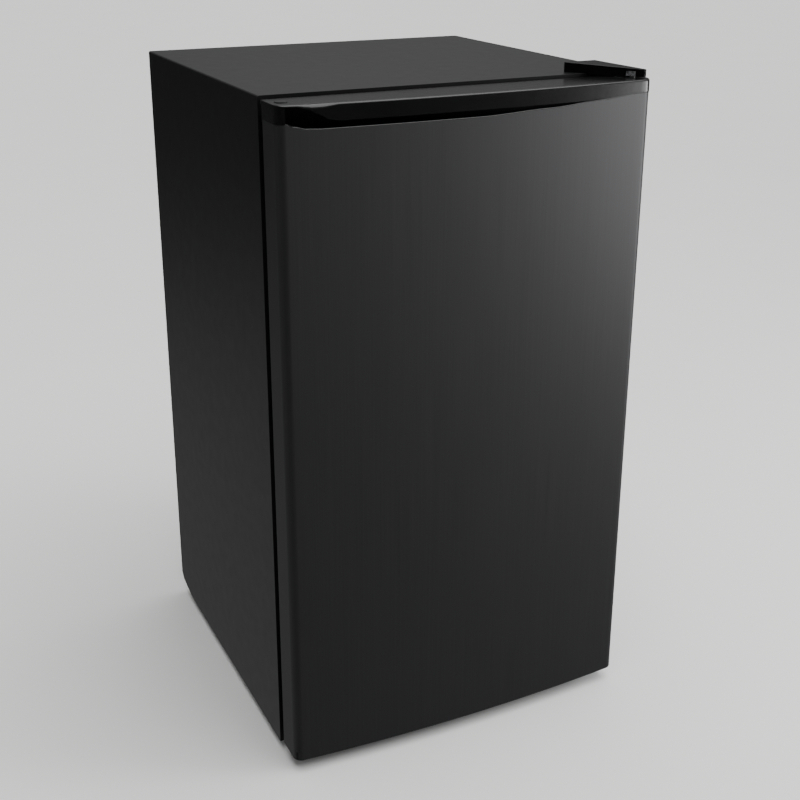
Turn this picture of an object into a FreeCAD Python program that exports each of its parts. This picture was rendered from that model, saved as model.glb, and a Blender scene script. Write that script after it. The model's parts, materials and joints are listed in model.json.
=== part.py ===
import FreeCAD, Part
import math
import os
import re

import Sketcher

# Compact single-door refrigerator. Millimetres, +Z up, +X to the right of a person facing the door,
# -Y towards that person. The origin is on the floor under the middle of the whole appliance.

doc = FreeCAD.newDocument("mini_fridge")

# ---- driving dimensions -------------------------------------------------------------------------

SIZES = {
    "cab_w": (472, "outside width of cabinet and door"),
    "cab_d": (433, "cabinet depth, front edge to back, without the door"),
    "side_h": (820, "height of the side panels"),
    "lift": (12, "side panels' height above the floor"),
    "skin": (0.7, "steel sheet of the outer casing and the door"),
    "flange": (24, "steel folded inwards round the cabinet's front"),
    "back_in": (4, "rear sheet's recess behind the side panels' rear edges"),
    "bevel_d": (55, "depth of the slanted lower rear corner of a side panel"),
    "bevel_h": (10, "height of that slant"),
    "wall": (38, "insulated wall, sides and top"),
    "floor_wall": (55, "insulated floor"),
    "back_wall": (48, "insulated back"),
    "liner_t": (1.5, "moulded plastic of the liners"),
    "bay_d": (165, "depth of the compressor compartment"),
    "bay_h": (205, "height of the compressor compartment"),
    "bay_wall": (30, "insulation between compressor compartment and food"),
    "plate_t": (2, "compressor base plate"),
    "plate_z": (26, "height of the base plate's underside"),
    "door_t": (55, "door front at its corners, ahead of the cabinet"),
    "bow": (10, "how far the middle of the door stands ahead of its corners"),
    "door_r": (10, "radius of the door's upright front edges"),
    "door_gap": (12, "door back to cabinet, filled by the gasket"),
    "door_low": (19, "door's lower edge above the floor"),
    "door_high": (829, "door's upper edge above the floor"),
    "seal_air": (0.6, "gasket face to cabinet at rest"),
    "seal_w": (16, "width of the gasket"),
    "cap_h": (12, "thickness of the door's bottom cap"),
    "grip_low": (802, "lowest edge of the handle cap on the front"),
    "lip_low": (810, "lower edge of the handle's lip"),
    "hinge_x": (222, "door hinge axis, from the middle"),
    "hinge_y": (33, "door hinge axis, ahead of the cabinet"),
    "pin_r": (4, "hinge pin radius"),
    "fit": (0.05, "radial clearance of a running fit"),
    "bush_r": (6, "outer radius of the door's hinge bushes"),
    "cover_h": (12, "height of the hinge cover above the cabinet, at its inner end"),
    "cover_fall": (5, "fall of its top towards the outer end"),
    "pan_x": (188, "half width of the raised panel on the door liner"),
    "pan_y": (8, "how far that panel reaches into the cabinet"),
    "dyke_y": (36, "how far the door liner's upright ridges reach in"),
    "dyke_w": (24, "width of a ridge"),
    "dyke_top": (640, "upper end of the ridges"),
    "bin_t": (2, "wall of the door racks"),
    "ice_z": (690, "underside of the freezer box"),
    "ice_h": (98, "height of the freezer box"),
    "ice_x": (186, "half width of the freezer box"),
    "ice_y": (118, "freezer box's front, behind the cabinet's front"),
    "ice_t": (1.2, "roll-bonded aluminium sheet"),
    "flap_z": (700, "height of the freezer flap's hinge axis"),
    "flap_t": (6, "thickness of the freezer flap"),
    "shelf_y": (110, "shelf front, behind the cabinet's front"),
    "shelf_x": (190, "half width of a shelf"),
    "glass_t": (4, "shelf glass"),
    "ledge_w": (7, "width of the ledges that carry the shelves"),
    "foot_x": (190, "feet, from the middle"),
    "foot_y": (40, "front feet, behind the cabinet's front"),
    "stud_r": (4, "radius of a levelling foot's stud"),
    "pump_x": (-40, "compressor's middle, sideways"),
    "pump_y": (165, "compressor's middle, front to back"),
    "drain_y": (185, "drain tube, front to back"),
    "suction_x": (120, "suction pipe's upright run, sideways"),
    "capil_x": (100, "capillary tube's upright run, sideways"),
    "entry_z": (705, "height at which both enter the freezer box"),
    "port_y": (176, "compressor's pipe ends, front to back"),
    "drier_x": (205, "filter drier, sideways"),
    "coil_y": (210, "rearmost run of the condenser, and the filter drier"),
    "tap_r": (2, "radius of a sheet metal screw"),
    "gland_x": (150, "cord gland, sideways"),
    "dial_z": (622, "height of the thermostat's axis"),
    "low_z": (25, "height of the lower hinge's screws"),
    "flap_y": (107, "freezer flap's hinge axis, behind the cabinet's front"),
    "tube_r": (2.4, "radius of the condenser tube"),
    "loop": (60, "spacing of the condenser's runs"),
}

sheet = doc.addObject("Spreadsheet::Sheet", "dims")
for row, (alias, (value, meaning)) in enumerate(SIZES.items(), start=1):
    sheet.set(f"A{row}", meaning)
    sheet.set(f"B{row}", str(value))
    sheet.setAlias(f"B{row}", alias)
doc.recompute()

# Places that follow from those sizes, as expressions.
HALF = "(cab_w / 2)"
IN_X = "(cab_w / 2 - skin)"
FRONT = "((door_t + bow - cab_d) / 2)"
REAR = "((cab_d + door_t + bow) / 2)"
BASE = "lift"
TOP = "(lift + side_h)"
BACK = f"({REAR} - back_in)"
BAY_Y = f"({REAR} - bay_d)"
BAY_Z = "(lift + bay_h)"
BAY_TOP = f"({BAY_Z} + bay_wall)"
BAY_FACE = f"({BAY_Y} - bay_wall)"
CAVE_X = "(cab_w / 2 - wall)"
CAVE_LOW = "(lift + floor_wall)"
CAVE_TOP = f"({TOP} - wall)"
CAVE_BACK = f"({REAR} - back_wall)"
DOOR_BACK = f"({FRONT} - door_gap)"
DOOR_FACE = f"({FRONT} - door_t)"
AXIS_Y = f"({FRONT} - hinge_y)"
PLATE_TOP = "(plate_z + plate_t)"


def bound(text):
    """An expression with every spreadsheet name written in full."""
    return re.sub(
        r"[a-z_]+", lambda word: "dims." + word.group() if word.group() in SIZES else word.group(), str(text)
    )


def num(text):
    """The value of an expression, read from the spreadsheet."""
    return float(sheet.evalExpression(bound(text)))


# ---- building blocks ----------------------------------------------------------------------------

nodes = []
TURNS = {
    "x": FreeCAD.Rotation(FreeCAD.Vector(0, 1, 0), 90),
    "y": FreeCAD.Rotation(FreeCAD.Vector(1, 0, 0), -90),
    "z": FreeCAD.Rotation(),
}
PLANES = {
    "xy": FreeCAD.Rotation(),
    "xz": FreeCAD.Rotation(FreeCAD.Vector(1, 0, 0), 90),
    "yz": FreeCAD.Rotation(FreeCAD.Vector(1, 1, 1), 120),
}
NORMALS = {"xy": (0, 0, 1), "xz": (0, 1, 0), "yz": (1, 0, 0)}
serial = iter(range(10000))


def new(kind, stem):
    return doc.addObject(kind, f"{stem}_{next(serial)}")


def put(obj, at):
    """Bind an object's place to three expressions."""
    for axis, text in zip("xyz", at):
        obj.setExpression("Placement.Base." + axis, bound(text))


def box(low, high):
    """A box from its low corner to its high corner."""
    obj = new("Part::Box", "box")
    for prop, start, end in zip(("Length", "Width", "Height"), low, high):
        obj.setExpression(prop, bound(f"({end}) - ({start})"))
    put(obj, low)
    return obj


def rod(radius, start, length, axis="z"):
    """A cylinder that starts at a point and runs along an axis."""
    obj = new("Part::Cylinder", "rod")
    obj.Placement.Rotation = TURNS[axis]
    obj.setExpression("Radius", bound(radius))
    obj.setExpression("Height", bound(length))
    put(obj, start)
    return obj


def fuse(*parts):
    if len(parts) == 1:
        return parts[0]
    obj = new("Part::MultiFuse", "fuse")
    obj.Shapes = list(parts)
    obj.Refine = True
    return obj


def cut(base, *tools):
    obj = new("Part::Cut", "cut")
    obj.Base = base
    obj.Tool = fuse(*tools)
    obj.Refine = True
    return obj


def common(base, tool):
    obj = new("Part::Common", "common")
    obj.Base = base
    obj.Tool = tool
    return obj


def fillet(base, radius, pick):
    """Round the edges of a solid that pick() accepts."""
    doc.recompute()
    size = num(radius)
    obj = new("Part::Fillet", "fillet")
    obj.Base = base
    obj.Edges = [(i, size, size) for i, edge in enumerate(base.Shape.Edges, start=1) if pick(edge)]
    return obj


def upright(edge):
    """True for a straight edge that runs along Z."""
    return abs(edge.tangentAt(edge.FirstParameter).z) > 0.999 and edge.Curve.TypeId == "Part::GeomLine"


def draw(sketch, points):
    """A closed outline in a sketch, each corner's two coordinates held by an expression."""
    ends = [FreeCAD.Vector(num(a), num(b), 0) for a, b in points]
    count = len(points)
    for i in range(count):
        sketch.addGeometry(Part.LineSegment(ends[i], ends[(i + 1) % count]), False)
    for i in range(count):
        sketch.addConstraint(Sketcher.Constraint("Coincident", i, 2, (i + 1) % count, 1))
    for i, pair in enumerate(points):
        for kind, text in zip(("DistanceX", "DistanceY"), pair):
            index = sketch.addConstraint(Sketcher.Constraint(kind, -1, 1, i, 1, num(text)))
            sketch.setExpression(f"Constraints[{index}]", bound(text))


def extrude(sketch, plane, start, end):
    """The solid between two levels over a sketch that lies in one of the main planes."""
    level = {"xy": "z", "xz": "y", "yz": "x"}[plane]
    sketch.Placement.Rotation = PLANES[plane]
    sketch.setExpression("Placement.Base." + level, bound(start))
    obj = new("Part::Extrusion", "prism")
    obj.Base = sketch
    obj.DirMode = "Custom"
    obj.Dir = FreeCAD.Vector(*NORMALS[plane])
    obj.Solid = True
    obj.setExpression("LengthFwd", bound(f"({end}) - ({start})"))
    return obj


def prism(plane, points, start, end):
    sketch = new("Sketcher::SketchObject", "outline")
    draw(sketch, points)
    return extrude(sketch, plane, start, end)


def bowed(inset, back, low, high, proud="0"):
    """A slab with the door's bowed front: inset from the door's faces, from its back to its front."""
    half = f"({HALF} - ({inset}))"
    corner = f"({DOOR_FACE} + ({inset}) - ({proud}))"
    curve = f"({half} ^ 2 + bow ^ 2) / (2 * bow)"
    side, front, radius = num(half), num(corner), num(curve)
    sketch = new("Sketcher::SketchObject", "plan")
    rear = num(back)
    ends = [(-side, front), (-side, rear), (side, rear), (side, front)]
    for (ax, ay), (bx, by) in zip(ends, ends[1:]):
        sketch.addGeometry(Part.LineSegment(FreeCAD.Vector(ax, ay, 0), FreeCAD.Vector(bx, by, 0)), False)
    middle = FreeCAD.Vector(0, front - num("bow") + radius, 0)
    swing = math.asin(side / radius)
    circle = Part.Circle(middle, FreeCAD.Vector(0, 0, 1), radius)
    sketch.addGeometry(Part.ArcOfCircle(circle, -math.pi / 2 - swing, -math.pi / 2 + swing), False)
    for first, second in ((0, 1), (1, 2)):
        sketch.addConstraint(Sketcher.Constraint("Coincident", first, 2, second, 1))
    sketch.addConstraint(Sketcher.Constraint("Coincident", 3, 1, 0, 1))
    sketch.addConstraint(Sketcher.Constraint("Coincident", 3, 2, 2, 2))
    held = [(0, 1, f"-{half}", corner), (1, 1, f"-{half}", back), (2, 1, half, back), (2, 2, half, corner)]
    for line, end, across, along in held:
        for kind, text in (("DistanceX", across), ("DistanceY", along)):
            index = sketch.addConstraint(Sketcher.Constraint(kind, -1, 1, line, end, num(text)))
            sketch.setExpression(f"Constraints[{index}]", bound(text))
    index = sketch.addConstraint(Sketcher.Constraint("Radius", 3, radius))
    sketch.setExpression(f"Constraints[{index}]", bound(curve))
    slab = extrude(sketch, "xy", low, high)
    return fillet(slab, f"door_r - ({inset})", lambda edge: upright(edge) and edge.CenterOfMass.y < rear - 1)


def pipe(stops, radius, bend):
    """A tube's solid along straight runs joined by arcs of one radius."""
    points = [FreeCAD.Vector(*(num(value) for value in stop)) for stop in stops]
    edges = []
    start = points[0]
    for before, here, after in zip(points, points[1:], points[2:]):
        come = (here - before).normalize()
        go = (after - here).normalize()
        reach = bend * math.tan(come.getAngle(go) / 2)
        arc_in = here - come * reach
        arc_out = here + go * reach
        lift = (go - come).normalize() * bend * (1 / math.cos(come.getAngle(go) / 2) - 1)
        edges.append(Part.LineSegment(start, arc_in).toShape())
        edges.append(Part.Arc(arc_in, here + lift, arc_out).toShape())
        start = arc_out
    edges.append(Part.LineSegment(start, points[-1]).toShape())
    circle = Part.makeCircle(radius, points[0], (points[1] - points[0]).normalize())
    return Part.Wire(edges).makePipeShell([Part.Wire([circle])], True, True)


def tube(name, stops, radius, bend):
    """A node that is one bent tube; it reads its radius and its stops from the spreadsheet."""
    obj = new("Part::Feature", "tube")
    obj.Shape = pipe(stops, num(radius), bend)
    obj.Placement = FreeCAD.Placement()
    return node(obj, name)


def pad_body(name, points, length, plane="XY_Plane"):
    """A PartDesign body: one sketch on an origin plane, padded."""
    body = doc.addObject("PartDesign::Body", name)
    sketch = body.newObject("Sketcher::SketchObject", name + "_outline")
    origin_plane = [item for item in body.Origin.OriginFeatures if item.Role == plane][0]
    sketch.AttachmentSupport = [(origin_plane, "")]
    sketch.MapMode = "FlatFace"
    draw(sketch, points)
    pad = body.newObject("PartDesign::Pad", name + "_pad")
    pad.Profile = sketch
    pad.setExpression("Length", bound(length))
    body.Tip = pad
    doc.recompute()
    return body


def node(obj, name):
    obj.Label = name
    nodes.append(obj)
    return obj


def frame(half, low, high, width, y_low, y_high):
    """A rectangular ring that faces the front."""
    outer = box((f"-({half})", y_low, low), (half, y_high, high))
    opening = (f"-({half} - {width})", f"{y_low} - 1", f"{low} + {width}")
    inner = box(opening, (f"{half} - {width}", f"{y_high} + 1", f"{high} - {width}"))
    return cut(outer, inner)


def tray(low, high, wall, floor=None):
    """An open-topped box with walls of one thickness."""
    outer = box(low, high)
    inner_low = tuple(f"({text}) + ({wall})" for text in low[:2]) + (f"({low[2]}) + ({floor or wall})",)
    inner_high = tuple(f"({text}) - ({wall})" for text in high[:2]) + (f"({high[2]}) + 1",)
    return cut(outer, box(inner_low, inner_high))


def both(make):
    """What make() builds for the left side and for the right side."""
    return [make(-1), make(1)]


# ---- cabinet casing -----------------------------------------------------------------------------

HINGE_SCREWS = [(196, 22), (219, 8), (210, 32)]
LOW_SCREWS = [190, 204]


def hinge_screw_rods(radius, low, length):
    return [rod(radius, (x, f"{FRONT} + {y}", low), length) for x, y in HINGE_SCREWS]


def outer_wrap():
    """Two sides and a top in one folded sheet, with flanges turned inwards at the front and back."""
    outside = box((f"-{HALF}", FRONT, BASE), (HALF, REAR, TOP))
    inside = box((f"-{IN_X}", f"{FRONT} + skin", f"{BASE} - 1"), (IN_X, f"{BACK} - skin", f"{TOP} - skin"))
    open_half = f"({HALF} - flange)"
    front_low = (f"-{open_half}", f"{FRONT} - 1", f"{BASE} - 1")
    front = box(front_low, (open_half, f"{FRONT} + 2", f"{TOP} - flange"))
    rear_half = f"({HALF} - 14)"
    rear = box((f"-{rear_half}", f"{BACK} - 2", f"{BASE} - 1"), (rear_half, f"{REAR} + 1", f"{TOP} - 14"))
    recess = box((f"-{IN_X}", BACK, f"{BASE} - 1"), (IN_X, f"{REAR} + 1", f"{TOP} - skin"))
    low_rear = box((f"-{IN_X}", f"{BACK} - 2", f"{BASE} - 1"), (IN_X, f"{REAR} + 1", BAY_Z))
    slant = prism(
        "yz",
        [
            (f"{REAR} - bevel_d", f"{BASE} - 1"),
            (f"{REAR} - bevel_d", BASE),
            (f"{REAR} - 8", f"{BASE} + bevel_h"),
            (f"{REAR}", f"{BASE} + 2 * bevel_h"),
            (f"{REAR} + 1", f"{BASE} + 2 * bevel_h"),
            (f"{REAR} + 1", f"{BASE} - 1"),
        ],
        f"-{HALF} - 1",
        f"{HALF} + 1",
    )
    shell = cut(outside, inside, front, rear, recess, low_rear, slant)
    rounded = fillet(
        shell,
        "1.6",
        lambda edge: edge.Curve.TypeId == "Part::GeomLine"
        and abs(edge.tangentAt(edge.FirstParameter).y) > 0.999
        and edge.Length > 300
        and abs(abs(edge.CenterOfMass.x) - num(HALF)) < 0.01
        and abs(edge.CenterOfMass.z - num(TOP)) < 0.01,
    )
    holes = hinge_screw_rods("2.5", f"{TOP} - 5", "10")
    return node(cut(rounded, *holes, *panel_screw_rods("tap_r", f"{BACK} - 6", "10")), "outer_wrap")


PANEL_ROWS = ["250", "440", "630", "812"]


def panel_screw_rods(radius, start, length):
    rods = []
    for side in (-1, 1):
        for z in PANEL_ROWS:
            rods.append(rod(radius, (f"{side} * ({HALF} - 8)", start, z), length, "y"))
    return rods


def rear_panel():
    """Flat steel back with four raised stiffening ribs."""
    sheet_low = (f"-{IN_X}", f"{BACK}", BAY_Z)
    panel = box(sheet_low, (IN_X, f"{BACK} + skin", f"{TOP} - skin"))
    ribs = []
    for x in (-150, -50, 50, 150):
        rib_low = (f"{x} - 8", f"{BACK} + skin", f"{BAY_Z} + 40")
        ribs.append(box(rib_low, (f"{x} + 8", f"{BACK} + 2.6", f"{TOP} - 50")))
    node(cut(fuse(panel, *ribs), *panel_screw_rods("tap_r", f"{BACK} - 6", "10")), "rear_panel")
    screws = []
    for head, shank in zip(
        panel_screw_rods("3.6", f"{BACK} + skin", "1.8"), panel_screw_rods("tap_r", f"{BACK} - 5", "5 + skin")
    ):
        screws.append(fuse(head, shank))
    group = new("Part::Compound", "screws")
    group.Links = screws
    node(group, "rear_panel_screws")


def bottom_steel():
    """Sheet under the food compartment, and the channel across the front that carries the feet."""
    face = box((f"-{IN_X}", f"{FRONT} + skin", BASE), (IN_X, f"{FRONT} + skin + 1.2", f"{BASE} + 50"))
    sole = box((f"-{IN_X}", f"{FRONT} + skin", BASE), (IN_X, f"{FRONT} + 70", f"{BASE} + 1.2"))
    feet = both(lambda side: rod("stud_r + 1", (f"{side} * foot_x", f"{FRONT} + foot_y", f"{BASE} - 2"), "8"))
    screws = [rod("tap_r", (x, f"{FRONT} - 3", "low_z"), "12", "y") for x in LOW_SCREWS]
    node(cut(fuse(face, sole), *feet, *screws), "front_crossmember")
    panel = box((f"-{IN_X}", f"{FRONT} + 60", f"{BASE} + 1.2"), (IN_X, BAY_Y, f"{BASE} + 1.9"))
    node(panel, "bottom_panel")
    bush = []
    for side in (-1, 1):
        at = (f"{side} * foot_x", f"{FRONT} + foot_y", f"{BASE} + 1.2")
        bush.append(cut(rod("8", at, "9"), rod("stud_r + fit", at, "9")))
    group = new("Part::Compound", "nuts")
    group.Links = bush
    node(group, "foot_nuts")


def bay_steel():
    """Bent sheet that closes the insulation above and ahead of the compressor."""
    wide = f"({IN_X} - 6)"
    wall = box((f"-{wide}", BAY_Y, f"{BASE} + 1.9"), (wide, f"{BAY_Y} + 0.8", BAY_Z))
    roof = box((f"-{wide}", BAY_Y, f"{BAY_Z} - 0.8"), (wide, BACK, BAY_Z))
    sheet_metal = fuse(wall, roof)
    holes = [
        rod("5.5", ("pump_x", "drain_y", f"{BAY_Z} - 5"), "10"),
        rod("4", ("suction_x", "225", f"{BAY_Z} - 5"), "10"),
        rod("2", ("capil_x", "235", f"{BAY_Z} - 5"), "10"),
    ]
    node(cut(sheet_metal, *holes), "compressor_bay_panel")


def insulation():
    """Foam between casing and liner, poured round the tubes."""
    outline = [
        (f"{FRONT} + skin + liner_t", f"{BASE} + 50"),
        (f"{FRONT} + 60", f"{BASE} + 50"),
        (f"{FRONT} + 60", f"{BASE} + 1.9"),
        (BAY_Y, f"{BASE} + 1.9"),
        (BAY_Y, BAY_Z),
        (f"{BACK} - skin", BAY_Z),
        (f"{BACK} - skin", f"{TOP} - skin"),
        (f"{FRONT} + skin + liner_t", f"{TOP} - skin"),
    ]
    block = prism("yz", outline, f"-{IN_X}", IN_X)
    filler = box((f"-{IN_X}", f"{FRONT} + 2.2", f"{BASE} + 12"), (IN_X, f"{FRONT} + 60", f"{BASE} + 50"))
    wells = both(lambda side: rod("9", (f"{side} * foot_x", f"{FRONT} + foot_y", BASE), "44"))
    drain = rod("5.5", ("pump_x", "drain_y", f"{BAY_Z} - 1"), "bay_wall + 2")
    screws = hinge_screw_rods("2.5", f"{TOP} - 12", "14")
    hollow = prism("yz", cave_outline("0"), f"-{CAVE_X}", CAVE_X)
    hinge_screws = [rod("tap_r", (x, f"{FRONT} - 3", "low_z"), "13", "y") for x in LOW_SCREWS]
    back_screws = panel_screw_rods("tap_r", f"{BACK} - 6", "8")
    holes = wells + screws + hinge_screws + back_screws
    node(cut(fuse(block, filler), hollow, drain, *holes), "foam_insulation")


def cave_outline(inset):
    """Side view of the food compartment, stepped over the compressor."""
    return [
        (f"{FRONT} - 5", f"{CAVE_LOW} + {inset}"),
        (f"{BAY_FACE} - {inset}", f"{CAVE_LOW} + {inset}"),
        (f"{BAY_FACE} - {inset}", f"{BAY_TOP} + {inset}"),
        (f"{CAVE_BACK} - {inset}", f"{BAY_TOP} + {inset}"),
        (f"{CAVE_BACK} - {inset}", f"{CAVE_TOP} - {inset}"),
        (f"{FRONT} - 5", f"{CAVE_TOP} - {inset}"),
    ]


SHELF_LEVELS = {"lower": "300", "upper": "500"}


def inner_liner():
    """Moulded food compartment with a front flange, and the four clip-in ledges for the shelves."""
    outside = prism("yz", cave_outline("0"), f"-{CAVE_X}", CAVE_X)
    inside = prism("yz", cave_outline("liner_t"), f"-({CAVE_X} - liner_t)", f"{CAVE_X} - liner_t")
    flange = box(
        (f"-{IN_X}", f"{FRONT} + skin", f"{BASE} + 50"),
        (IN_X, f"{FRONT} + skin + liner_t", f"{TOP} - skin"),
    )
    trim_front = box((f"-{HALF}", f"{FRONT} - 10", "0"), (HALF, f"{FRONT} + skin", f"{TOP} + 1"))
    holes = [
        rod("5.5", ("pump_x", "drain_y", f"{BAY_TOP} - 1"), "4"),
        rod("3.2", ("suction_x", f"{CAVE_BACK} - 3", "entry_z"), "6", "y"),
        rod("1", ("capil_x", f"{CAVE_BACK} - 3", "entry_z"), "6", "y"),
    ]
    node(cut(fuse(outside, flange), inside, trim_front, *holes), "inner_liner")
    ledges = []
    for level in SHELF_LEVELS.values():
        for side in (-1, 1):
            low_x = f"({side} * ({CAVE_X} - liner_t) - {(1 + side) // 2} * ledge_w)"
            ledge_low = (low_x, f"{FRONT} + 60", f"{level} - 7")
            ledges.append(box(ledge_low, (f"{low_x} + ledge_w", f"{CAVE_BACK} - liner_t", f"{level} - 1")))
    group = new("Part::Compound", "ledges")
    group.Links = ledges
    node(group, "shelf_ledges")


# ---- machine compartment ------------------------------------------------------------------------

FOOT_X = 78
FOOT_Y = 42


def pump_feet():
    return [(f"pump_x + {a * FOOT_X}", f"pump_y + {b * FOOT_Y}") for a in (-1, 1) for b in (-1, 1)]


def base_plate():
    """Channel under the compressor, with upturned sides and back, carrying the rear feet."""
    plate = box((f"-({IN_X})", f"{BAY_Y} + 0.8", "plate_z"), (IN_X, f"{REAR} - 6", PLATE_TOP))
    sides = both(
        lambda side: box(
            (f"{side} * ({IN_X} - 1) - 1", f"{BAY_Y} + 0.8", PLATE_TOP),
            (f"{side} * ({IN_X} - 1) + 1", f"{REAR} - 6", "plate_z + 24"),
        )
    )
    back = box((f"-{IN_X}", f"{REAR} - 8", PLATE_TOP), (IN_X, f"{REAR} - 6", "plate_z + 24"))
    holes = [rod("3", (x, y, "plate_z - 2"), "8") for x, y in pump_feet()]
    holes += both(lambda side: rod("5", (f"{side} * foot_x", f"{REAR} - 40", "plate_z - 2"), "8"))
    holes.append(rod("8", ("gland_x", f"{REAR} - 12", "plate_z + 13"), "10", "y"))
    node(cut(fuse(plate, *sides, back), *holes), "compressor_base_plate")
    feet = []
    for side in (-1, 1):
        at = (f"{side} * foot_x", f"{REAR} - 40")
        feet.append(fuse(rod("15", (*at, "0"), "plate_z"), rod("5", (*at, "plate_z"), "plate_t + 5")))
    group = new("Part::Compound", "feet")
    group.Links = feet
    node(group, "rear_feet")
    flange = rod("11", ("gland_x", f"{REAR} - 6", "plate_z + 13"), "3", "y")
    neck = rod("8", ("gland_x", f"{REAR} - 8", "plate_z + 13"), "2", "y")
    collar = rod("10", ("gland_x", f"{REAR} - 11", "plate_z + 13"), "3", "y")
    bore = rod("3.6", ("gland_x", f"{REAR} - 14", "plate_z + 13"), "14", "y")
    node(cut(fuse(flange, neck, collar), bore), "cord_gland")


def compressor():
    """Hermetic shell of two pressed cups welded at a seam, on a footed plate."""
    low = box(("pump_x - 72", "pump_y - 55", "40"), ("pump_x + 72", "pump_y + 55", "98"))
    high = box(("pump_x - 72", "pump_y - 55", "98"), ("pump_x + 72", "pump_y + 55", "172"))
    seam = box(("pump_x - 76", "pump_y - 59", "94"), ("pump_x + 76", "pump_y + 59", "99"))
    low = fillet(fillet(low, "38", upright), "14", lambda edge: edge.CenterOfMass.z < 40.1)
    high = fillet(fillet(high, "38", upright), "30", lambda edge: edge.CenterOfMass.z > 171.9)
    seam = fillet(seam, "40", upright)
    plates = []
    for b in (-1, 1):
        across = f"pump_y + {b * FOOT_Y}"
        plate_low = (f"pump_x - {FOOT_X + 16}", f"{across} - 13", "38")
        plates.append(box(plate_low, (f"pump_x + {FOOT_X + 16}", f"{across} + 13", "41")))
    holes = [rod("5", (x, y, "36"), "8") for x, y in pump_feet()]
    node(cut(fuse(low, high, seam, *plates), *holes), "compressor")
    pads, bolts = [], []
    for x, y in pump_feet():
        pads.append(cut(rod("10", (x, y, PLATE_TOP), "10"), rod("3", (x, y, PLATE_TOP), "10")))
        stem = rod("3", (x, y, "plate_z - 1"), "18")
        bolts.append(fuse(stem, rod("8", (x, y, "41"), "1.6"), rod("5", (x, y, "42.6"), "4")))
    for name, parts in (("compressor_grommets", pads), ("compressor_bolts", bolts)):
        group = new("Part::Compound", "group")
        group.Links = parts
        node(group, name)
    relay = box(("pump_x + 76", "pump_y - 30", "70"), ("pump_x + 112", "pump_y + 16", "128"))
    node(fillet(relay, "4", upright), "start_relay_cover")


def drain_parts():
    """Tray over the compressor that catches defrost water, and the tube that feeds it."""
    pan = tray(("pump_x - 66", "pump_y - 48", "172"), ("pump_x + 66", "pump_y + 52", "192"), "2")
    node(pan, "drain_pan")
    outer = rod("5.5", ("pump_x", "drain_y", "197"), f"{BAY_TOP} + liner_t - 197")
    inner = rod("4", ("pump_x", "drain_y", "196"), f"{BAY_TOP} + liner_t - 190")
    node(cut(outer, inner), "drain_tube")


def condenser(side, name):
    """Serpentine tube against the inside of one side panel, hidden in the insulation."""
    x = f"{side} * ({IN_X} - tube_r - 0.1)"
    stops = []
    if side < 0:
        stops.append((x, "coil_y", "190"))
    else:
        stops += [("drier_x", "coil_y", "165"), ("drier_x", "coil_y", "198"), (x, "coil_y", "198")]
    tops = ["770", "260"]
    for run in range(6):
        y = f"coil_y - {run} * loop"
        first, second = (tops[1], tops[0]) if run % 2 == 0 else (tops[0], tops[1])
        if run > 0:
            stops.append((x, y, first))
        last = run == 5
        stops.append((x, y, second if not last else "130"))
    stops += [(x, "96", "130"), ("0", "96", "130")]
    tube(name, stops, "tube_r", 12)


def refrigerant_tubes():
    left = f"-({IN_X} - tube_r - 0.1)"
    tube(
        "discharge_pipe",
        [
            ("pump_x - 72", "port_y", "120"),
            ("-196", "port_y", "120"),
            ("-196", "coil_y", "120"),
            (left, "coil_y", "120"),
            (left, "coil_y", "190"),
        ],
        "tube_r",
        12,
    )
    condenser(-1, "condenser_coil_left")
    condenser(1, "condenser_coil_right")
    can = rod("9", ("drier_x", "coil_y", "80"), "70")
    ends = [rod("5", ("drier_x", "coil_y", "72"), "8"), rod("5", ("drier_x", "coil_y", "150"), "15")]
    node(fuse(can, *ends), "filter_drier")
    tube(
        "suction_pipe",
        [
            ("suction_x", f"{CAVE_BACK} - 16", "entry_z"),
            ("suction_x", "225", "entry_z"),
            ("suction_x", "225", "150"),
            ("suction_x", "port_y", "150"),
            ("pump_x + 72", "port_y", "150"),
        ],
        "3.2",
        12,
    )
    tube(
        "capillary_tube",
        [
            ("drier_x", "coil_y", "72"),
            ("drier_x", "coil_y", "50"),
            ("capil_x", "coil_y", "50"),
            ("capil_x", "235", "50"),
            ("capil_x", "235", "entry_z"),
            ("capil_x", f"{CAVE_BACK} - 16", "entry_z"),
        ],
        "1",
        8,
    )


# ---- inside the food compartment ----------------------------------------------------------------


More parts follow.
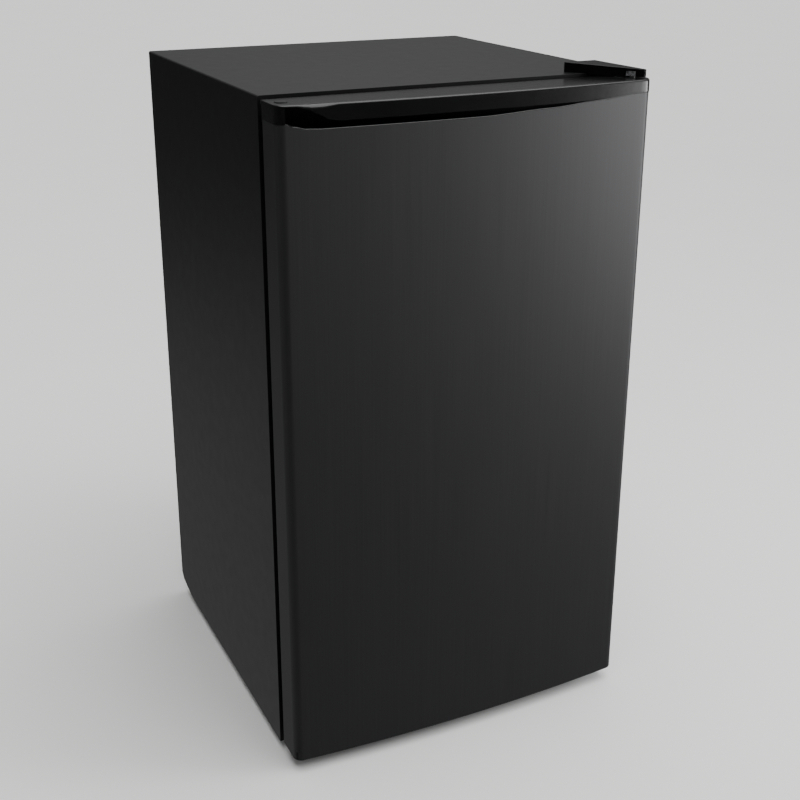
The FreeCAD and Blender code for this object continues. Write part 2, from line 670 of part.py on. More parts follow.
def freezer():
    """Folded evaporator box under the ceiling, its plastic surround and its drop-down flap."""
    low = ("-ice_x", f"{FRONT} + ice_y", "ice_z")
    high = ("ice_x", f"{CAVE_BACK} - 16", "ice_z + ice_h")
    hollow_low = ("-ice_x + ice_t", f"{FRONT} + ice_y - 1", "ice_z + ice_t")
    hollow_high = ("ice_x - ice_t", f"{CAVE_BACK} - 16 - ice_t", "ice_z + ice_h - ice_t")
    node(cut(box(low, high), box(hollow_low, hollow_high)), "evaporator_box")
    spots = [(a * 150, y) for a in (-1, 1) for y in (-30, 150)]
    ceiling = f"({CAVE_TOP} - liner_t)"
    spacers = [rod("7", (x, y, "ice_z + ice_h"), f"{ceiling} - ice_z - ice_h") for x, y in spots]
    group = new("Part::Compound", "group")
    group.Links = spacers
    node(group, "evaporator_spacers")
    y_low, y_high = f"{FRONT} + ice_y - 14", f"{FRONT} + ice_y"
    ring = cut(
        box(("-190", y_low, "ice_z - 2"), ("190", y_high, "ice_z + ice_h + 2")),
        box(("-180", f"{y_low} - 1", "696"), ("180", f"{y_high} + 1", "ice_z + ice_h - 3")),
    )
    axis_y = f"({FRONT} + flap_y)"
    sockets = both(lambda side: rod("2.5 + fit", (f"{side} * 183 - 4", axis_y, "flap_z"), "8", "x"))
    node(cut(ring, *sockets), "freezer_frame")
    panel = box(("-179", f"{axis_y} - flap_t / 2", "flap_z - 3"), ("179", f"{axis_y} + flap_t / 2", "784"))
    panel = fillet(
        panel,
        "2.9",
        lambda edge: abs(edge.tangentAt(edge.FirstParameter).x) > 0.999 and edge.CenterOfMass.z < 698,
    )
    grip = box(("-45", f"{FRONT} + 99", "768"), ("45", f"{FRONT} + 105", "773"))
    pins = both(lambda side: rod("2.5", (f"{side} * 180.5 - 2.5", axis_y, "flap_z"), "5", "x"))
    node(fuse(panel, grip, *pins), "freezer_door")


def drip_parts():
    """Tray under the freezer box, on two hung rails."""
    rails = []
    for side in (-1, 1):
        web = box((f"{side} * 177 - 1", f"{FRONT} + 118", "664"), (f"{side} * 177 + 1", "180", "ice_z"))
        foot_low = f"{side} * 172 - 4"
        rails.append(fuse(web, box((foot_low, f"{FRONT} + 118", "664"), (f"{foot_low} + 8", "180", "666"))))
    group = new("Part::Compound", "rails")
    group.Links = rails
    node(group, "drip_tray_rails")
    pan = tray(("-169", f"{FRONT} + 112", "668"), ("169", "178", "684"), "1.8")
    wings = both(
        lambda side: box(
            (f"{side} * 171.5 - 2.6", f"{FRONT} + 112", "667"), (f"{side} * 171.5 + 2.6", "178", "669.5")
        )
    )
    grip = box(("-50", f"{FRONT} + 106", "668"), ("50", f"{FRONT} + 112", "680"))
    node(fuse(pan, *wings, grip), "drip_tray")


DIAL_Y = f"({FRONT} + 150)"


def thermostat():
    """Control box on the right-hand wall with its turning knob and sensing tube."""
    wall_x = f"({CAVE_X} - liner_t)"
    low = ("168", f"{FRONT} + 110", "590")
    outer = box(low, (wall_x, f"{FRONT} + 190", "655"))
    outer = fillet(outer, "4", lambda edge: edge.CenterOfMass.x < 168.1)
    inner = box(("170.5", f"{FRONT} + 112.5", "592.5"), (f"{wall_x} + 1", f"{FRONT} + 187.5", "652.5"))
    hole = rod("3 + fit", ("166", DIAL_Y, "dial_z"), "8", "x")
    wire = rod("1", ("188", DIAL_Y, "650"), "8")
    node(cut(outer, inner, hole, wire), "thermostat_housing")
    can = box(("173", f"{DIAL_Y} - 22", "604"), ("194", f"{DIAL_Y} + 22", "640"))
    node(cut(can, rod("3 + fit", ("172", DIAL_Y, "dial_z"), "6", "x")), "thermostat_switch")
    disc = rod("18", ("156", DIAL_Y, "dial_z"), "11.5", "x")
    waist = rod("12", ("152", DIAL_Y, "dial_z"), "4", "x")
    mark = box(("150.5", f"{DIAL_Y} - 1.5", "dial_z"), ("152", f"{DIAL_Y} + 1.5", "dial_z + 12"))
    stem = rod("3", ("167", DIAL_Y, "dial_z"), "10", "x")
    node(fuse(disc, waist, mark, stem), "thermostat_knob")
    stops = [("188", DIAL_Y, "640"), ("188", DIAL_Y, "730"), ("188", f"{DIAL_Y} + 80", "730")]
    tube("sensing_tube", stops, "1", 10)


def shelves():
    """Two sliding glass shelves, each with a plastic front edge."""
    for name, level in SHELF_LEVELS.items():
        front = f"({FRONT} + shelf_y)"
        body = pad_body(
            f"shelf_glass_{name}",
            [
                ("-shelf_x", f"{front} + 6"),
                ("shelf_x", f"{front} + 6"),
                ("shelf_x", f"{CAVE_BACK} - 6"),
                ("-shelf_x", f"{CAVE_BACK} - 6"),
            ],
            "glass_t",
        )
        body.setExpression("Placement.Base.z", bound(level))
        node(body, f"shelf_glass_{name}")
        bar_low = ("-shelf_x", front, f"{level} - 0.6")
        bar = box(bar_low, ("shelf_x", f"{front} + 12", f"{level} + glass_t + 3"))
        slot_low = ("-shelf_x - 1", f"{front} + 6", level)
        slot = box(slot_low, ("shelf_x + 1", f"{front} + 13", f"{level} + glass_t"))
        node(cut(bar, slot), f"shelf_trim_{name}")


def front_feet():
    """Screw-in levelling feet."""
    for side, name in ((-1, "levelling_foot_left"), (1, "levelling_foot_right")):
        at = (f"{side} * foot_x", f"{FRONT} + foot_y")
        node(fuse(rod("17", (*at, "0"), "9"), rod("stud_r", (*at, "9"), "33")), name)


# ---- door ---------------------------------------------------------------------------------------


def handle_region():
    """Front view of what the handle cap covers: its lower edge dips on the left and rises to the right."""
    edge = [("-240", "809"), ("-227", "809"), ("-210", "804"), ("-189", "grip_low"), ("23", "grip_low + 0.5")]
    edge += [("89", "grip_low + 4"), ("158", "grip_low + 8")]
    edge += [("205", "grip_low + 11"), ("240", "grip_low + 11")]
    outline = edge + [("240", "850"), ("-240", "850")]
    return prism("xz", outline, f"{DOOR_FACE} - 30", f"{FRONT} + 5")


def grip_recess():
    """Finger scoop at the left that tapers away to the right under the lip."""
    plan = [
        ("-226", f"{DOOR_FACE} - 20"),
        ("-226", f"{FRONT} - 28"),
        ("-120", f"{FRONT} - 28"),
        ("165", f"{DOOR_FACE} - 5"),
        ("165", f"{DOOR_FACE} - 20"),
    ]
    band = prism("xy", plan, "grip_low - 1", "lip_low")
    scoop = box(("-226", f"{DOOR_FACE} - 20", "lip_low - 1"), ("-184", f"{FRONT} - 28", "823"))
    behind = box(("-226", f"{DOOR_FACE} + 1", "lip_low - 1"), ("-100", f"{FRONT} - 28", "823"))
    return [band, scoop, behind]


def bush_hole(side, low, length):
    return rod("bush_r", (f"{side} * hinge_x", AXIS_Y, low), length)


def door_parts():
    """Bowed steel skin, foam, end caps and hinge bushes."""
    outside = bowed("0", DOOR_BACK, "door_low", "door_high")
    inside = bowed("skin", f"{DOOR_BACK} - skin", "door_low - 1", "door_high + 1")
    opening = box(
        (f"-({HALF} - 12)", f"{DOOR_BACK} - 3", "door_low - 1"), (f"{HALF} - 12", f"{DOOR_BACK} + 1", "door_high + 1")
    )
    node(cut(outside, inside, opening, handle_region()), "door_skin")
    # the handle cap is a hollow moulding, thickened round the recess and the hinge holes
    roof = box((f"-{HALF}", f"{DOOR_BACK} - 1", "door_high - 4"), (HALF, f"{FRONT} - 8", "door_high"))
    whole = fuse(common(bowed("0", DOOR_BACK, "door_low", "door_high"), handle_region()), roof)
    void = bowed("3", f"{DOOR_BACK} - 3", "780", "door_high - 3")
    keep = box(("-232", f"{DOOR_FACE} - 20", "770"), ("170", f"{FRONT} - 25", "door_high"))
    bosses = both(
        lambda side: box(
            (f"{side} * hinge_x - 9", f"{AXIS_Y} - 9", "770"), (f"{side} * hinge_x + 9", f"{AXIS_Y} + 9", "door_high")
        )
    )
    holes = [bush_hole(1, "790", "50"), bush_hole(-1, "door_high - 5", "10")]
    node(cut(whole, cut(void, keep, *bosses), *grip_recess(), *holes), "door_top_trim")
    plug_head = rod("7", ("-hinge_x", AXIS_Y, "door_high"), "0.8")
    node(fuse(bush_hole(-1, "door_high - 5", "5"), plug_head), "hinge_hole_plug")
    cap = bowed("skin", f"{DOOR_BACK} - skin", "door_low", "door_low + cap_h")
    node(cut(cap, bush_hole(1, "door_low - 1", "cap_h + 2")), "door_bottom_trim")
    for name, low, length in (
        ("hinge_bush_top", "grip_low + 11", "door_high - grip_low - 11"),
        ("hinge_bush_bottom", "door_low", "cap_h"),
    ):
        pin = rod("pin_r + fit", ("hinge_x", AXIS_Y, f"{low} - 1"), f"{length} + 2")
        node(cut(bush_hole(1, low, length), pin), name)
    slab = bowed("skin", f"{DOOR_BACK} - skin - liner_t", "door_low + cap_h", "grip_low - 2")
    wide = "(pan_x - liner_t)"
    fill_low = (f"-{wide}", f"{DOOR_BACK} - skin - liner_t - 1", "82 + liner_t")
    fill = box(fill_low, (wide, f"{FRONT} + pan_y - liner_t", "780 - liner_t"))
    ridges = both(
        lambda side: box(
            (f"{side} * ({wide} - dyke_w / 2 + liner_t) - (dyke_w / 2 - liner_t)", f"{FRONT} - 5", "90 + liner_t"),
            (
                f"{side} * ({wide} - dyke_w / 2 + liner_t) + (dyke_w / 2 - liner_t)",
                f"{FRONT} + dyke_y - liner_t",
                "dyke_top - liner_t",
            ),
        )
    )
    node(fuse(slab, fill, *ridges), "door_foam")
    inner_face()
    seal = frame("(hinge_x + 4)", "34", "824", "seal_w", DOOR_BACK, f"({FRONT} - seal_air)")
    node(seal, "door_gasket")


def inner_face():
    """White inner panel of the door with two upright ridges that carry the racks."""
    y_plate = f"({DOOR_BACK} - skin - liner_t)"
    plate = box((f"-{IN_X}", y_plate, "door_low + cap_h"), (IN_X, f"{DOOR_BACK} - skin", "grip_low - 2"))
    pan = box(("-pan_x", y_plate, "82"), ("pan_x", f"{FRONT} + pan_y", "780"))
    wide = "(pan_x - liner_t)"
    hollow_low = (f"-{wide}", f"{y_plate} - 1", "82 + liner_t")
    hollow = box(hollow_low, (wide, f"{FRONT} + pan_y - liner_t", "780 - liner_t"))
    ridges, cores = [], []
    for side in (-1, 1):
        mid = f"{side} * (pan_x - dyke_w / 2)"
        ridge_low = (f"{mid} - dyke_w / 2", f"{FRONT}", "90")
        ridges.append(box(ridge_low, (f"{mid} + dyke_w / 2", f"{FRONT} + dyke_y", "dyke_top")))
        core_low = (f"{mid} - dyke_w / 2 + liner_t", f"{FRONT} - 5", "90 + liner_t")
        core_high = (f"{mid} + dyke_w / 2 - liner_t", f"{FRONT} + dyke_y - liner_t", "dyke_top - liner_t")
        cores.append(box(core_low, core_high))
    node(cut(fuse(plate, pan, *ridges), hollow, *cores), "door_liner")


def door_racks():
    """Three open racks hung between the ridges."""
    reach = {"door_rack_upper": (560, 55, 85), "door_rack_middle": (400, 55, 85), "bottle_rack": (98, 90, 100)}
    for name, (level, height, depth) in reach.items():
        low = ("-163", f"{FRONT} + pan_y + 0.2", level)
        high = ("163", f"{FRONT} + {depth}", f"{level} + {height}")
        node(tray(low, high, "bin_t"), name)


# ---- hinges -------------------------------------------------------------------------------------


def hinges():
    """Plated brackets with fixed pins, their screws, and the cover over the upper one."""
    outline = [("190", f"{FRONT} + 28"), ("190", f"{FRONT} + 1"), ("hinge_x - 7", f"{AXIS_Y} + 2")]
    outline += [("hinge_x", f"{AXIS_Y} - 4.5"), ("hinge_x + 7", f"{AXIS_Y} - 4.5"), ("220", f"{FRONT} + 44")]
    plate = fillet(prism("xy", outline, TOP, f"{TOP} + 2.5"), "1.5", upright)
    pin = rod("pin_r", ("hinge_x", AXIS_Y, "grip_low + 13"), f"{TOP} - grip_low - 13")
    head = rod("pin_r + 0.5", ("hinge_x", AXIS_Y, f"{TOP} + 2.5"), "2")
    node(cut(fuse(plate, pin, head), *hinge_screw_rods("2.5", f"{TOP} - 1", "6")), "top_hinge_bracket")
    screws = []
    for head, shank in zip(
        hinge_screw_rods("4.5", f"{TOP} + 2.5", "3"), hinge_screw_rods("2.5", f"{TOP} - 10", "12.5")
    ):
        screws.append(fuse(head, shank))
    group = new("Part::Compound", "group")
    group.Links = screws
    node(group, "top_hinge_screws")
    tab = box(("184", f"{AXIS_Y} - 9", "13.5"), ("231", FRONT, "16.5"))
    upstand = box(("184", f"{FRONT} - 2.5", "13.5"), ("231", FRONT, "32"))
    low_pin = rod("pin_r", ("hinge_x", AXIS_Y, "16.5"), "13")
    holes = [rod("tap_r", (x, f"{FRONT} - 3", "low_z"), "12", "y") for x in LOW_SCREWS]
    node(cut(fuse(tab, upstand, low_pin), *holes), "bottom_hinge_bracket")
    screws = []
    for x in LOW_SCREWS:
        head = rod("4", (x, f"{FRONT} - 5", "low_z"), "2.5", "y")
        screws.append(fuse(head, rod("tap_r", (x, f"{FRONT} - 2.5", "low_z"), "11", "y")))
    group = new("Part::Compound", "group")
    group.Links = screws
    node(group, "bottom_hinge_screws")


COVER = [(160, 18), (229, -48), (233, -45), (224, 50), (160, 20)]
COVER_INNER = [(163, 16.8), (228, -45.4), (231.1, -43), (222.5, 47.4), (163, 19.5)]


def hinge_cover():
    """Wedge-shaped cap over the upper hinge; its front part overhangs the door, its top falls outwards."""

    def plan(points, low, fall_from):
        """The outline raised to a sloping top that starts at a height above the inner end."""
        slope = [("160", low), ("233", low), ("233", f"{fall_from} - cover_fall"), ("160", fall_from)]
        upright_part = prism("xy", [(str(x), f"{FRONT} + {y}") for x, y in points], low, f"{TOP} + cover_h + 1")
        return common(upright_part, prism("xz", slope, f"{FRONT} - 60", f"{FRONT} + 60"))

    whole = plan(COVER, "door_high + 1", f"{TOP} + cover_h")
    hollow = plan(COVER_INNER, "door_high - 1", f"{TOP} + cover_h - 1.6")
    seat = box(("150", f"{FRONT} - 0.3", "door_high - 2"), ("240", f"{FRONT} + 80", TOP))
    window = box(("213", f"{FRONT} - 60", f"{TOP} - 1"), ("221.5", f"{FRONT} - 30", f"{TOP} + 4.5"))
    node(cut(whole, hollow, seat, window), "hinge_cover")


# ---- assembly -----------------------------------------------------------------------------------

outer_wrap()
rear_panel()
bottom_steel()
bay_steel()
insulation()
inner_liner()
base_plate()
compressor()
drain_parts()
refrigerant_tubes()
freezer()
drip_parts()
thermostat()
shelves()
front_feet()
door_parts()
door_racks()
hinges()
hinge_cover()

doc.recompute()
for obj in doc.Objects:
    if "Invalid" in obj.State or "Error" in obj.State:
        raise RuntimeError(f"{obj.Label} failed: {obj.State}")
os.makedirs("parts", exist_ok=True)
for obj in nodes:
    if obj.Shape.isNull() or not obj.Shape.isValid():
        raise RuntimeError(obj.Label + " has no valid shape")
    obj.Shape.exportStep(f"parts/{obj.Label}.step")
print(len(nodes), "parts written")
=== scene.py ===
# %% [markdown]
# A compact refrigerator, dressed around its engineering model. The model brings every part at its real
# size and place; this lesson gives the parts that are seen their softer edges, their moulded shapes and
# their finishes. Everything is in metres: X to the right, Y from the door to the back, Z up.

# %% Open the frame
import json
import math
import bmesh
import bpy
from contextlib import contextmanager
from mathutils import Matrix, Vector

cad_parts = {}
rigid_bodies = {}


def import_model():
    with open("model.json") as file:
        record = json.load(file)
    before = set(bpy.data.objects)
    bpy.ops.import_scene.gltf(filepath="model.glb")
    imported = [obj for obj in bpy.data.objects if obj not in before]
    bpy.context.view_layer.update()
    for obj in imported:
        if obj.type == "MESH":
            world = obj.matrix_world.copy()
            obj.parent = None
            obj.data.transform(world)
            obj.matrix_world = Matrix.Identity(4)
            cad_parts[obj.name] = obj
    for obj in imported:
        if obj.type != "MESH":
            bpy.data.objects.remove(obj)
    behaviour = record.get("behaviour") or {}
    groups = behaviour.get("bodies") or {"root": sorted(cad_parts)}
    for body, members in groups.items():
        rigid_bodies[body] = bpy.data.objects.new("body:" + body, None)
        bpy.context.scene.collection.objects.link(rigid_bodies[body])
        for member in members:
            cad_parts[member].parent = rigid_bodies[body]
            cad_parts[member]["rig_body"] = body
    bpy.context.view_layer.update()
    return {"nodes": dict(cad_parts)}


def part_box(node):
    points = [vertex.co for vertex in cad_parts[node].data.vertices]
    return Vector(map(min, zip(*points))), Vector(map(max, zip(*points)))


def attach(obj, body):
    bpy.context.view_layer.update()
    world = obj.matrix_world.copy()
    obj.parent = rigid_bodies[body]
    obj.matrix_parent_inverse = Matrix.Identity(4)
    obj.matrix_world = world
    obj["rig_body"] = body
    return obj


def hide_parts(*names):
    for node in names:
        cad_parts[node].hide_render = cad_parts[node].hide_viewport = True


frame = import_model()
MM = 0.001
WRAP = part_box("outer_wrap")
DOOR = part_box("door_skin")
FRONT = WRAP[0].y
TOP = WRAP[1].z
HALF = WRAP[1].x
print("frame loaded:", len(frame["nodes"]), "nodes, front edge at", round(FRONT, 4))

# %% [markdown]
# The camera stands where a buyer would: a little to the left of the door and above it, so that one side
# panel and the top are seen. The small shift only places the object in the frame.

# %% Camera
AZIMUTH, ELEVATION, ROLL = math.radians(-25.91), math.radians(19.73), math.radians(-0.147)
LEVEL = math.cos(ELEVATION)
back = Vector((math.sin(AZIMUTH) * LEVEL, -math.cos(AZIMUTH) * LEVEL, math.sin(ELEVATION)))
right = (-back).cross(Vector((0, 0, 1))).normalized()
up = back.cross(right)
turned_right = right * math.cos(ROLL) - up * math.sin(ROLL)
turned_up = right * math.sin(ROLL) + up * math.cos(ROLL)
bpy.ops.object.camera_add()
camera = bpy.context.object
camera.name = "camera"
camera.matrix_world = Matrix.Translation((-0.6759, FRONT - 1.2525, 1.0335)) @ Matrix(
    (turned_right, turned_up, back)
).transposed().to_4x4()
camera.data.sensor_width = 36
camera.data.lens = 55.8
camera.data.shift_y = -0.0775
bpy.context.scene.camera = camera
print("camera looks down by", round(math.degrees(ELEVATION), 1), "degrees")

# %% [markdown]
# Black, glossy and satin things are shown by what they reflect. A studio hangs dark cloth where a black
# panel should look black, and stands large soft lights where it should shine. Here one broad light hangs
# over the top, a tall one stands to the right, and a weak one behind. The room's brightness follows
# height: dim near the horizon and lighter below and above, and dimmer in front than behind. The pale floor
# takes no part in mirror-like reflections, or every upright face would show it and turn grey.

# %% Floor, room and lights
bpy.ops.object.select_all(action="DESELECT")
bpy.ops.mesh.primitive_plane_add(size=60, location=(0, 0, 0))
floor = bpy.context.object
floor.name = "floor"
floor.visible_glossy = False
world = bpy.data.worlds.new("room")
bpy.context.scene.world = world
world.use_nodes = True
world_nodes, world_links = world.node_tree.nodes, world.node_tree.links
room = world_nodes["Background"]
room.inputs["Color"].default_value = (1, 1, 1, 1)
heading = world_nodes.new("ShaderNodeTexCoord")
split = world_nodes.new("ShaderNodeSeparateXYZ")
levels = world_nodes.new("ShaderNodeFloatCurve")
seen = world_nodes.new("ShaderNodeLightPath")
choice = world_nodes.new("ShaderNodeMix")
BACKDROP = 1.1
choice.inputs["B"].default_value = BACKDROP
world_links.new(heading.outputs["Generated"], split.inputs["Vector"])
world_links.new(split.outputs["Z"], levels.inputs["Value"])
depth = world_nodes.new("ShaderNodeMapRange")
for socket, value in (("From Min", -0.5), ("From Max", 0.3), ("To Min", 0.2), ("To Max", 1.0)):
    depth.inputs[socket].default_value = value
world_links.new(split.outputs["Y"], depth.inputs["Value"])
dimmed = world_nodes.new("ShaderNodeMath")
dimmed.operation = "MULTIPLY"
world_links.new(levels.outputs["Value"], dimmed.inputs[0])
world_links.new(depth.outputs["Result"], dimmed.inputs[1])
world_links.new(dimmed.outputs["Value"], choice.inputs["A"])
world_links.new(seen.outputs["Is Camera Ray"], choice.inputs["Factor"])
world_links.new(choice.outputs["Result"], room.inputs["Strength"])
curve = levels.mapping.curves[0]
levels.mapping.use_clip = False
curve.points[0].location = (-1.0, 0.4)
curve.points[1].location = (1.0, 0.25)
for height, level in ((-0.55, 0.26), (-0.38, 0.25), (-0.2, 0.055), (0.02, 0.05), (0.25, 0.2)):
    curve.points.new(height, level)
levels.mapping.update()


def softbox(name, place, target, width, height, power):
    """A rectangular studio light that faces a point."""
    bpy.ops.object.light_add(type="AREA", location=place)
    lamp = bpy.context.object
    lamp.name = name
    lamp.data.shape = "RECTANGLE"
    lamp.data.size = width
    lamp.data.size_y = height
    lamp.data.energy = power
    aim = Vector(target) - Vector(place)
    lamp.rotation_euler = aim.to_track_quat("-Z", "Y").to_euler()
    return lamp


bpy.ops.object.light_add(type="SUN", location=(0, 0, 4))
overhead = bpy.context.object
overhead.name = "light_overhead"
overhead.data.energy = 3.6
overhead.data.angle = math.radians(70)
overhead.rotation_euler = (math.radians(12), math.radians(10), 0)
softbox("light_right", (2.2, -1.4, 0.75), (0.1, -0.2, 0.55), 0.8, 1.4, 46)
softbox("light_back", (0.9, 1.9, 2.1), (0, -0.2, 0.8), 1.6, 1.2, 2)

# %% [markdown]
# Colours are written as the hex values a paint chart gives. The renderer works in linear light, so one
# function turns them. A second one adds a node with its settings and its links, which is all that the
# materials below need.

# %% Colour and node helpers


def linear(code):
    """An sRGB hex colour as linear red, green, blue and alpha."""
    parts = [int(code[i : i + 2], 16) / 255 for i in (1, 3, 5)]
    return tuple(p / 12.92 if p <= 0.04045 else ((p + 0.055) / 1.055) ** 2.4 for p in parts) + (1.0,)


def add(material, kind, inputs=None, **settings):
    """A new node, its settings, and its sockets set to a value or linked to another node's output."""
    node = material.node_tree.nodes.new(kind)
    for name, value in settings.items():
        setattr(node, name, value)
    for name, value in (inputs or {}).items():
        if isinstance(value, bpy.types.NodeSocket):
            material.node_tree.links.new(value, node.inputs[name])
        else:
            node.inputs[name].default_value = value
    return node


def surface(name, **constants):
    """A material with one principled shader, its constants set on its own sockets."""
    material = bpy.data.materials.new(name)
    material.use_nodes = True
    shader = material.node_tree.nodes["Principled BSDF"]
    for socket, value in constants.items():
        shader.inputs[socket.replace("_", " ")].default_value = value
    return material, shader


def grain(material, scale, stretch=(1, 1, 1), detail=3.0):
    """Noise over the object's own coordinates, with about one spot per 1/scale metres."""
    place = add(material, "ShaderNodeTexCoord")
    mapping = add(material, "ShaderNodeMapping", {"Vector": place.outputs["Object"], "Scale": stretch})
    noise = add(
        material, "ShaderNodeTexNoise",
        {"Vector": mapping.outputs["Vector"], "Scale": scale, "Detail": detail},
    )
    return noise.outputs["Fac"]


def vary(material, shader, socket, source, low, high):
    """Let a 0-to-1 pattern drive a shader value between two limits."""
    ranged = add(material, "ShaderNodeMapRange", {"Value": source, "To Min": low, "To Max": high})
    material.node_tree.links.new(ranged.outputs["Result"], shader.inputs[socket])


def tint(material, shader, source, dark, light):
    """Let a pattern move the colour between two hex values."""
    mix = add(material, "ShaderNodeMix", {"Factor": source}, data_type="RGBA")
    mix.inputs["A"].default_value = linear(dark)
    mix.inputs["B"].default_value = linear(light)
    material.node_tree.links.new(mix.outputs["Result"], shader.inputs["Base Color"])


def relief(material, shader, source, depth, strength=1.0):
    """Raise and lower the surface by a pattern, depth in metres."""
    bump = add(material, "ShaderNodeBump", {"Height": source, "Distance": depth, "Strength": strength})
    material.node_tree.links.new(bump.outputs["Normal"], shader.inputs["Normal"])


# %% [markdown]
# The casing is pre-painted steel: a roller lays satin black enamel on the coil before it is folded, and
# leaves a faint orange peel, with bumps about 2 mm across. It gives the eye a broad, soft sheen.

# %% Casing paint
casing_paint, shader = surface("steel_black_enamel_satin", IOR=1.5)
tint(casing_paint, shader, grain(casing_paint, 9, detail=2), "#0d0d0e", "#111112")
vary(casing_paint, shader, "Roughness", grain(casing_paint, 60), 0.36, 0.44)
relief(casing_paint, shader, grain(casing_paint, 500, detail=1), 0.00002)

# %% [markdown]
# The door sheet has a dark film over an upright brushed grain. The scratches are finer than the picture
# can show, so they are drawn about 1 mm wide. The film makes it a dark metal with a broad, soft
# highlight. Its grey and its metallic value were picked to suit the lights above.

# %% Door steel
door_steel, shader = surface("steel_dark_brushed_film", Metallic=0.85, IOR=1.5)
streaks = grain(door_steel, 1.0, stretch=(900, 900, 5), detail=2)
tint(door_steel, shader, streaks, "#474748", "#525253")
vary(door_steel, shader, "Roughness", streaks, 0.45, 0.55)
relief(door_steel, shader, streaks, 0.000012)

# %% [markdown]
# Handle cap, hinge cover and plug are injection-moulded ABS from a fairly smooth mould. It is almost
# black where it mirrors the dark side of the room, and draws a thin bright line on every rounded edge. A
# slow waviness, about 8 mm from crest to crest, is what the cooling plastic leaves in the gloss.

# %% Black ABS
black_abs, shader = surface("abs_black_gloss", IOR=1.53)
tint(black_abs, shader, grain(black_abs, 30), "#0b0b0c", "#101011")
vary(black_abs, shader, "Roughness", grain(black_abs, 300), 0.2, 0.27)
relief(black_abs, shader, grain(black_abs, 120, detail=1), 0.00002)

rubber, shader = surface("pvc_black_soft", IOR=1.52)
tint(rubber, shader, grain(rubber, 40), "#0c0c0c", "#151515")
vary(rubber, shader, "Roughness", grain(rubber, 200), 0.55, 0.7)
relief(rubber, shader, grain(rubber, 1500, detail=1), 0.00002)

# %% [markdown]
# Brackets and screws are zinc plated: a bright, slightly bluish metal with a faint cloudiness. Bare
# metal is normally fully metallic. This room is dim, and at 1.0 the plating came out dark grey, so 0.7 is
# a choice made for this light and not a property of the plating.

# %% Zinc plating
zinc, shader = surface("steel_zinc_plated", Metallic=0.7)
tint(zinc, shader, grain(zinc, 120), "#cfd2d5", "#e2e4e5")
vary(zinc, shader, "Roughness", grain(zinc, 400), 0.22, 0.34)

# %% [markdown]
# The hidden and half hidden steel is hot-dip galvanised. Zinc crystals a few millimetres wide each turn
# their own way, and the eye sees a patchwork of slightly lighter and darker grey. Its
# metallic value of 0.8 is lowered for this dim room too.

# %% Galvanised sheet
galvanised, shader = surface("steel_galvanised_spangle", Metallic=0.8)
place = add(galvanised, "ShaderNodeTexCoord")
crystals = add(galvanised, "ShaderNodeTexVoronoi", {"Vector": place.outputs["Object"], "Scale": 160})
tint(galvanised, shader, crystals.outputs["Distance"], "#b3b6b8", "#c9cbcc")
vary(galvanised, shader, "Roughness", crystals.outputs["Distance"], 0.32, 0.5)

# %% [markdown]
# Inside, high-impact polystyrene is drawn over a mould: white, glossy, with a faint waviness some
# centimetres across where it stretched. The eye reads it as clean and slightly soft in its reflections.

# %% White polystyrene
white_hips, shader = surface("polystyrene_white_vacuum_formed", IOR=1.59)
tint(white_hips, shader, grain(white_hips, 8), "#e6e8e6", "#eef0ee")
vary(white_hips, shader, "Roughness", grain(white_hips, 90), 0.2, 0.3)
relief(white_hips, shader, grain(white_hips, 35, detail=1), 0.00025, 0.5)

# %% [markdown]
# The racks are styrene-acrylonitrile, clear with a very slight blue haze, and the shelves are tempered
# float glass with a faint green. Both get a little surface variation, because a perfect
# transparent body shows nothing at all.

# %% Clear materials
clear_san, shader = surface("san_clear_moulded", IOR=1.57, Transmission_Weight=0.85)
tint(clear_san, shader, grain(clear_san, 12), "#eef4f6", "#f6fafb")
vary(clear_san, shader, "Roughness", grain(clear_san, 70), 0.06, 0.16)
shelf_glass, shader = surface("glass_float_tempered", IOR=1.52, Transmission_Weight=0.96)
tint(shelf_glass, shader, grain(shelf_glass, 5), "#eaf6f1", "#f2faf7")
vary(shelf_glass, shader, "Roughness", grain(shelf_glass, 25), 0.0, 0.03)

# %% [markdown]
# The freezer box is roll-bonded aluminium: two sheets are rolled into one and the channel between them is
# blown open, so raised bands some centimetres apart run over the sheet. A wave pattern raises them. Its
# metallic value of 0.5 is far below bare aluminium's, so that the inside of the box isn't black here.

# %% Roll-bonded aluminium
roll_bond, shader = surface("aluminium_roll_bonded", Metallic=0.5)
place = add(roll_bond, "ShaderNodeTexCoord")
channel = add(
    roll_bond, "ShaderNodeTexWave", {"Vector": place.outputs["Object"], "Scale": 12.0, "Distortion": 0.6},
    bands_direction="Y",
)
tint(roll_bond, shader, grain(roll_bond, 60), "#d2d4d6", "#dfe1e2")
vary(roll_bond, shader, "Roughness", grain(roll_bond, 200), 0.3, 0.42)
relief(roll_bond, shader, channel.outputs["Fac"], 0.0012)

# %% [markdown]
# The refrigerant runs in drawn copper, dulled by handling, and the coils are steel tube with a copper
# wash. The compressor's shell is dipped in black enamel that pools a little: bumps of some millimetres.

# %% Copper, washed steel and compressor enamel
copper, shader = surface("copper_drawn_tarnished", Metallic=1.0)
tint(copper, shader, grain(copper, 45), "#9c5f42", "#c07e5b")
vary(copper, shader, "Roughness", grain(copper, 150), 0.25, 0.5)
washed_steel, shader = surface("steel_tube_copper_washed", Metallic=1.0)
tint(washed_steel, shader, grain(washed_steel, 40), "#6d5647", "#8a6a55")
vary(washed_steel, shader, "Roughness", grain(washed_steel, 120), 0.35, 0.55)
pump_enamel, shader = surface("steel_black_dipped_enamel", IOR=1.5)
tint(pump_enamel, shader, grain(pump_enamel, 30), "#0b0b0b", "#151515")
vary(pump_enamel, shader, "Roughness", grain(pump_enamel, 90), 0.18, 0.32)
relief(pump_enamel, shader, grain(pump_enamel, 220, detail=1), 0.0002, 0.5)

